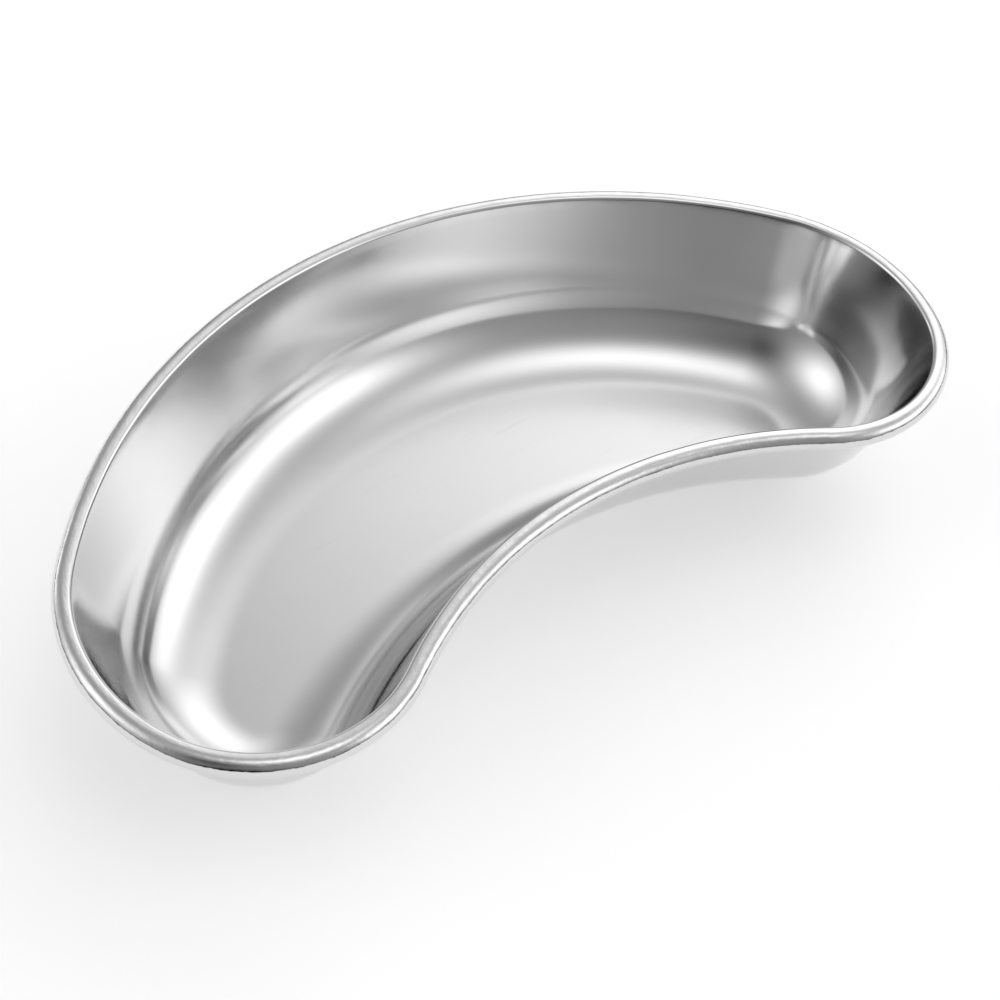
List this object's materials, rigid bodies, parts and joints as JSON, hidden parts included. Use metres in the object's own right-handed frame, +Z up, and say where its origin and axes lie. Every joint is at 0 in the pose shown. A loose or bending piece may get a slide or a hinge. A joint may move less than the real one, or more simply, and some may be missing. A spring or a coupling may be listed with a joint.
{
  "type": "kidney dish",
  "caption": "Shallow kidney-shaped stainless steel dish with a flat floor, leaning walls and an outward curled rim; its hollow side fits against the body.",
  "frame": {"origin": "underside of the floor, below the middle of the rim's outline in plan", "axes": "+X along the length, +Y from the hollow side towards the round back, +Z up out of the bowl"},
  "size_m": [0.25, 0.132, 0.0435],
  "materials": {
    "stainless": "polished stainless steel on walls and rim, satin on the floor"
  },
  "bodies": {
    "root": {"dish": "stainless"}
  },
  "joints": []
}
